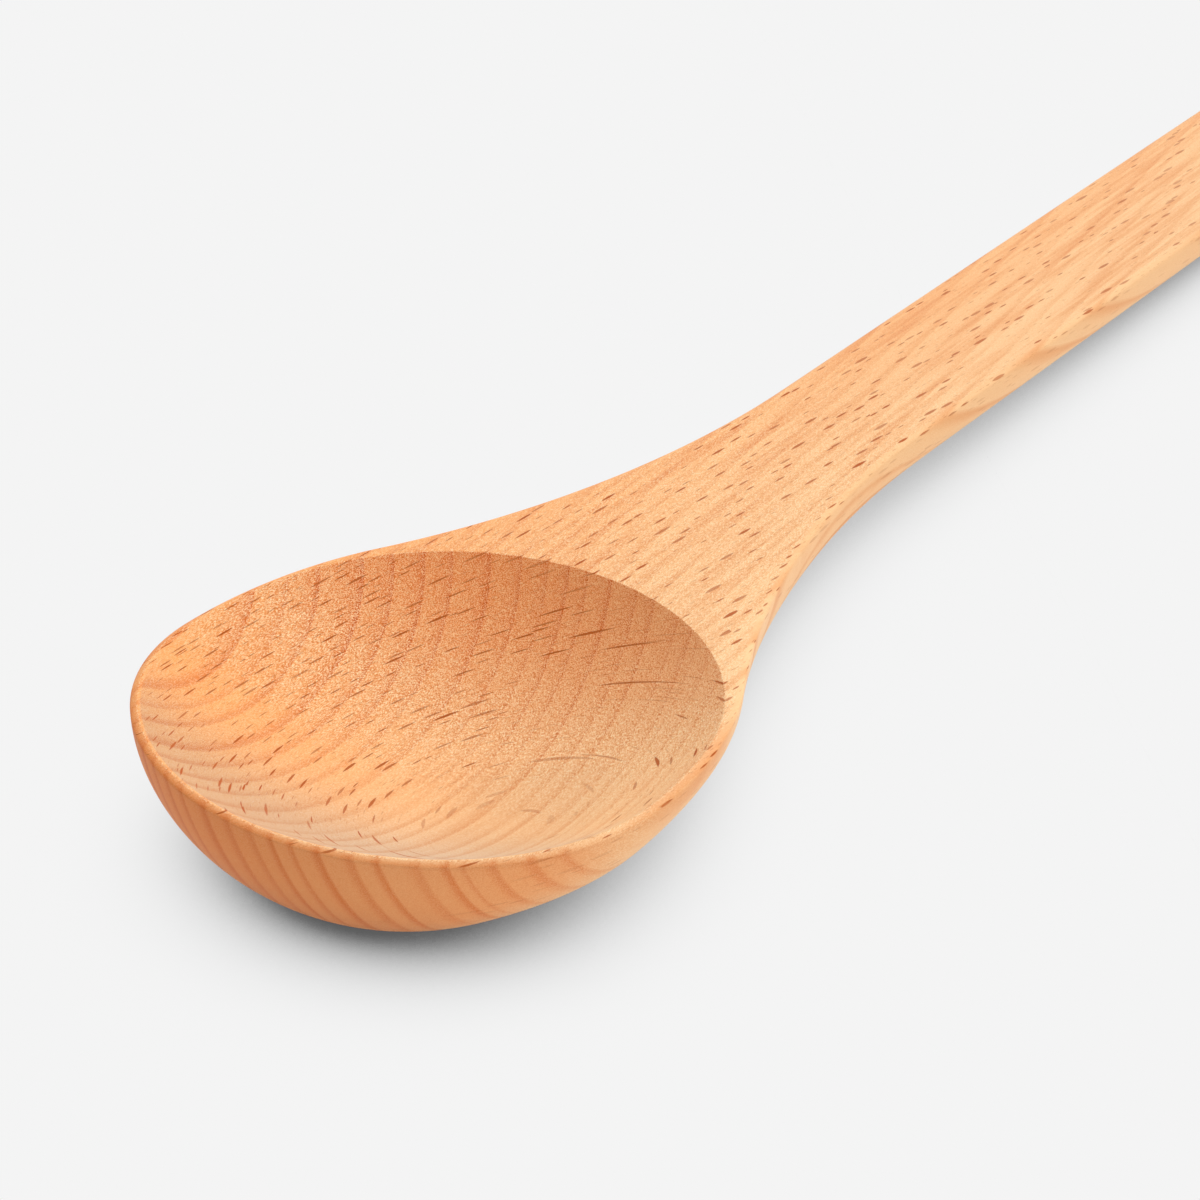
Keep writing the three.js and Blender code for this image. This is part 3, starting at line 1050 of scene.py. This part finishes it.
# %% [markdown]
# ## Table
# The spoon lies on a plain pale table. For the camera the table shows one even tone that darkens only
# where the spoon shuts out the light above it, as a soft shadow at its foot that leans to one side. For
# all other rays it is a plain white table that throws light back on the spoon. A lit white floor would
# need more light than the wood can take before it clips.

# %% Table
TABLE_SIZE = 6.0

half = TABLE_SIZE / 2
corners = [(-half, -half, 0), (half, -half, 0), (half, half, 0), (-half, half, 0)]
table_mesh = bpy.data.meshes.new("table")
table_mesh.from_pydata(corners, [], [(0, 1, 2, 3)])
table = bpy.data.objects.new("table", table_mesh)
bpy.context.scene.collection.objects.link(table)
print("table", TABLE_SIZE, "m wide")

# %% Table material
TABLE_WHITE = (0.9, 0.9, 0.9, 1)
TABLE_ROUGHNESS = 0.9
TABLE_TONE = (0.905, 0.905, 0.905, 1)
SHADOW_SAMPLES = 32
SHADOW_REACH = 0.04
SHADOW_POWER = 4.0
SHADOW_GAIN = 1.1
SHADOW_MOST = 0.97
SHADOW_LEAN = (0.4, 0.1, 0.0)


def table_material():
    """White for bounced light. Camera and mirror rays see an even tone times the open share of the sky."""
    material = bpy.data.materials.new("table_white")
    material.use_nodes = True
    tree = material.node_tree
    shader = tree.nodes["Principled BSDF"]
    shader.inputs["Base Color"].default_value = TABLE_WHITE
    shader.inputs["Roughness"].default_value = TABLE_ROUGHNESS
    shader.inputs["Specular IOR Level"].default_value = 0.0
    tent = tree.nodes.new("ShaderNodeAmbientOcclusion")
    tent.samples = SHADOW_SAMPLES
    tent.inputs["Distance"].default_value = SHADOW_REACH
    upright = tree.nodes.new("ShaderNodeNewGeometry").outputs["Normal"]
    put(tree, tent.inputs["Normal"], vector_calc(tree, "ADD", upright, SHADOW_LEAN))
    shut = times(tree, calc(tree, "SUBTRACT", 1.0, tent.outputs["AO"]), SHADOW_GAIN)
    shade = calc(tree, "POWER", calc(tree, "MINIMUM", shut, SHADOW_MOST), SHADOW_POWER)
    tone = tree.nodes.new("ShaderNodeEmission")
    tone.inputs["Color"].default_value = TABLE_TONE
    put(tree, tone.inputs["Strength"], calc(tree, "SUBTRACT", 1.0, shade))
    path = tree.nodes.new("ShaderNodeLightPath").outputs
    mirrored = calc(tree, "MAXIMUM", path["Is Glossy Ray"], path["Is Transmission Ray"])
    pick = tree.nodes.new("ShaderNodeMixShader")
    put(tree, pick.inputs[0], calc(tree, "MAXIMUM", path["Is Camera Ray"], mirrored))
    put(tree, pick.inputs[1], shader.outputs[0])
    put(tree, pick.inputs[2], tone.outputs[0])
    put(tree, tree.nodes["Material Output"].inputs["Surface"], pick.outputs[0])
    return material


table_mesh.materials.append(table_material())
print("made material", table_mesh.materials[0].name)

# %% [markdown]
# ## Light
# The spoon lies in a light tent: even light from all round, brighter behind the handle. A wide soft lamp
# above the handle's end lights the hollow, and a lower one from the side lights the outside of the bowl.
# Both are suns with a broad disc, so their light is the same all along the spoon, which area lamps would
# not give.

# %% Light tent
SKY_LEVEL = 0.33
BACK_LEVEL = 1.2
BACK_TURN = math.radians(20)
BACK_HEIGHT = math.radians(30)
BACK_EDGE = (0.3, 0.9)


def toward(turn, height):
    """Unit vector at an angle round the table and a height above it."""
    return Vector((math.cos(height) * math.cos(turn), math.cos(height) * math.sin(turn), math.sin(height)))


world = bpy.data.worlds.new("light_tent")
world.use_nodes = True
sky = world.node_tree
direction = sky.nodes.new("ShaderNodeTexCoord").outputs["Generated"]
facing = vector_calc(sky, "DOT_PRODUCT", direction, toward(BACK_TURN, BACK_HEIGHT))
background = sky.nodes["Background"]
background.inputs["Color"].default_value = (1, 1, 1, 1)
put(sky, background.inputs["Strength"], between(sky, step(sky, facing, *BACK_EDGE), SKY_LEVEL, BACK_LEVEL))
bpy.context.scene.world = world
print("tent shines at", SKY_LEVEL, "and at", BACK_LEVEL, "behind")

# %% Lamps
LAMPS = {
    "soft_lamp": {"level": 1.25, "disc": 50, "turn": 5, "height": 62},
    "side_lamp": {"level": 0.9, "disc": 40, "turn": -85, "height": 18},
}

for name, lamp in LAMPS.items():
    sun = bpy.data.lights.new(name, "SUN")
    sun.energy = lamp["level"]
    sun.angle = math.radians(lamp["disc"])
    stand = bpy.data.objects.new(name, sun)
    origin = toward(math.radians(lamp["turn"]), math.radians(lamp["height"]))
    stand.rotation_euler = origin.to_track_quat("Z", "Y").to_euler()
    bpy.context.scene.collection.objects.link(stand)
    print(name, "shines from", tuple(round(x, 2) for x in origin))

# %% [markdown]
# ## Camera
# The picture was taken with a long lens from in front of the bowl, a little to one side and well above
# the table. The view is written as angles in the drawing's own frame and as the spot of the picture where
# the widest place of the bowl appears. A bare matrix would give the same picture, but nobody could read
# it. The same tilt that lays the spoon down then turns the camera.

# %% Camera
PICTURE = 1200
FOCAL_PIXELS = 3363.1
VIEW_YAW = 0.6122
VIEW_PITCH = 0.5319
VIEW_ROLL = -0.0176
VIEW_DISTANCE = 348.2
BOWL_SPOT = (410.7, 713.1)
SENSOR = 36.0
NEAR_CLIP = 0.01

forward = np.array(toward(VIEW_YAW, -VIEW_PITCH))
sideways = np.array([math.sin(VIEW_YAW), -math.cos(VIEW_YAW), 0.0])
upright = np.cross(sideways, forward)
right = math.cos(VIEW_ROLL) * sideways - math.sin(VIEW_ROLL) * upright
up = math.cos(VIEW_ROLL) * upright + math.sin(VIEW_ROLL) * sideways
aside = (BOWL_SPOT[0] - PICTURE / 2) * VIEW_DISTANCE / FOCAL_PIXELS
under = (BOWL_SPOT[1] - PICTURE / 2) * VIEW_DISTANCE / FOCAL_PIXELS
eye = -forward * VIEW_DISTANCE - right * aside + up * under

lens = bpy.data.cameras.new("view")
lens.sensor_width = SENSOR
lens.lens = FOCAL_PIXELS * SENSOR / PICTURE
lens.clip_start = NEAR_CLIP
camera = bpy.data.objects.new("view", lens)
axes = np.stack([right, up, -forward], 1)
camera.matrix_world = Matrix.Translation(at_rest(eye)) @ Matrix((TIPPED @ axes).tolist()).to_4x4()
bpy.context.scene.collection.objects.link(camera)
bpy.context.scene.camera = camera
bpy.context.scene.view_settings.view_transform = "Standard"
print("camera at", tuple(round(x, 3) for x in camera.location), "lens", round(lens.lens, 1), "mm")
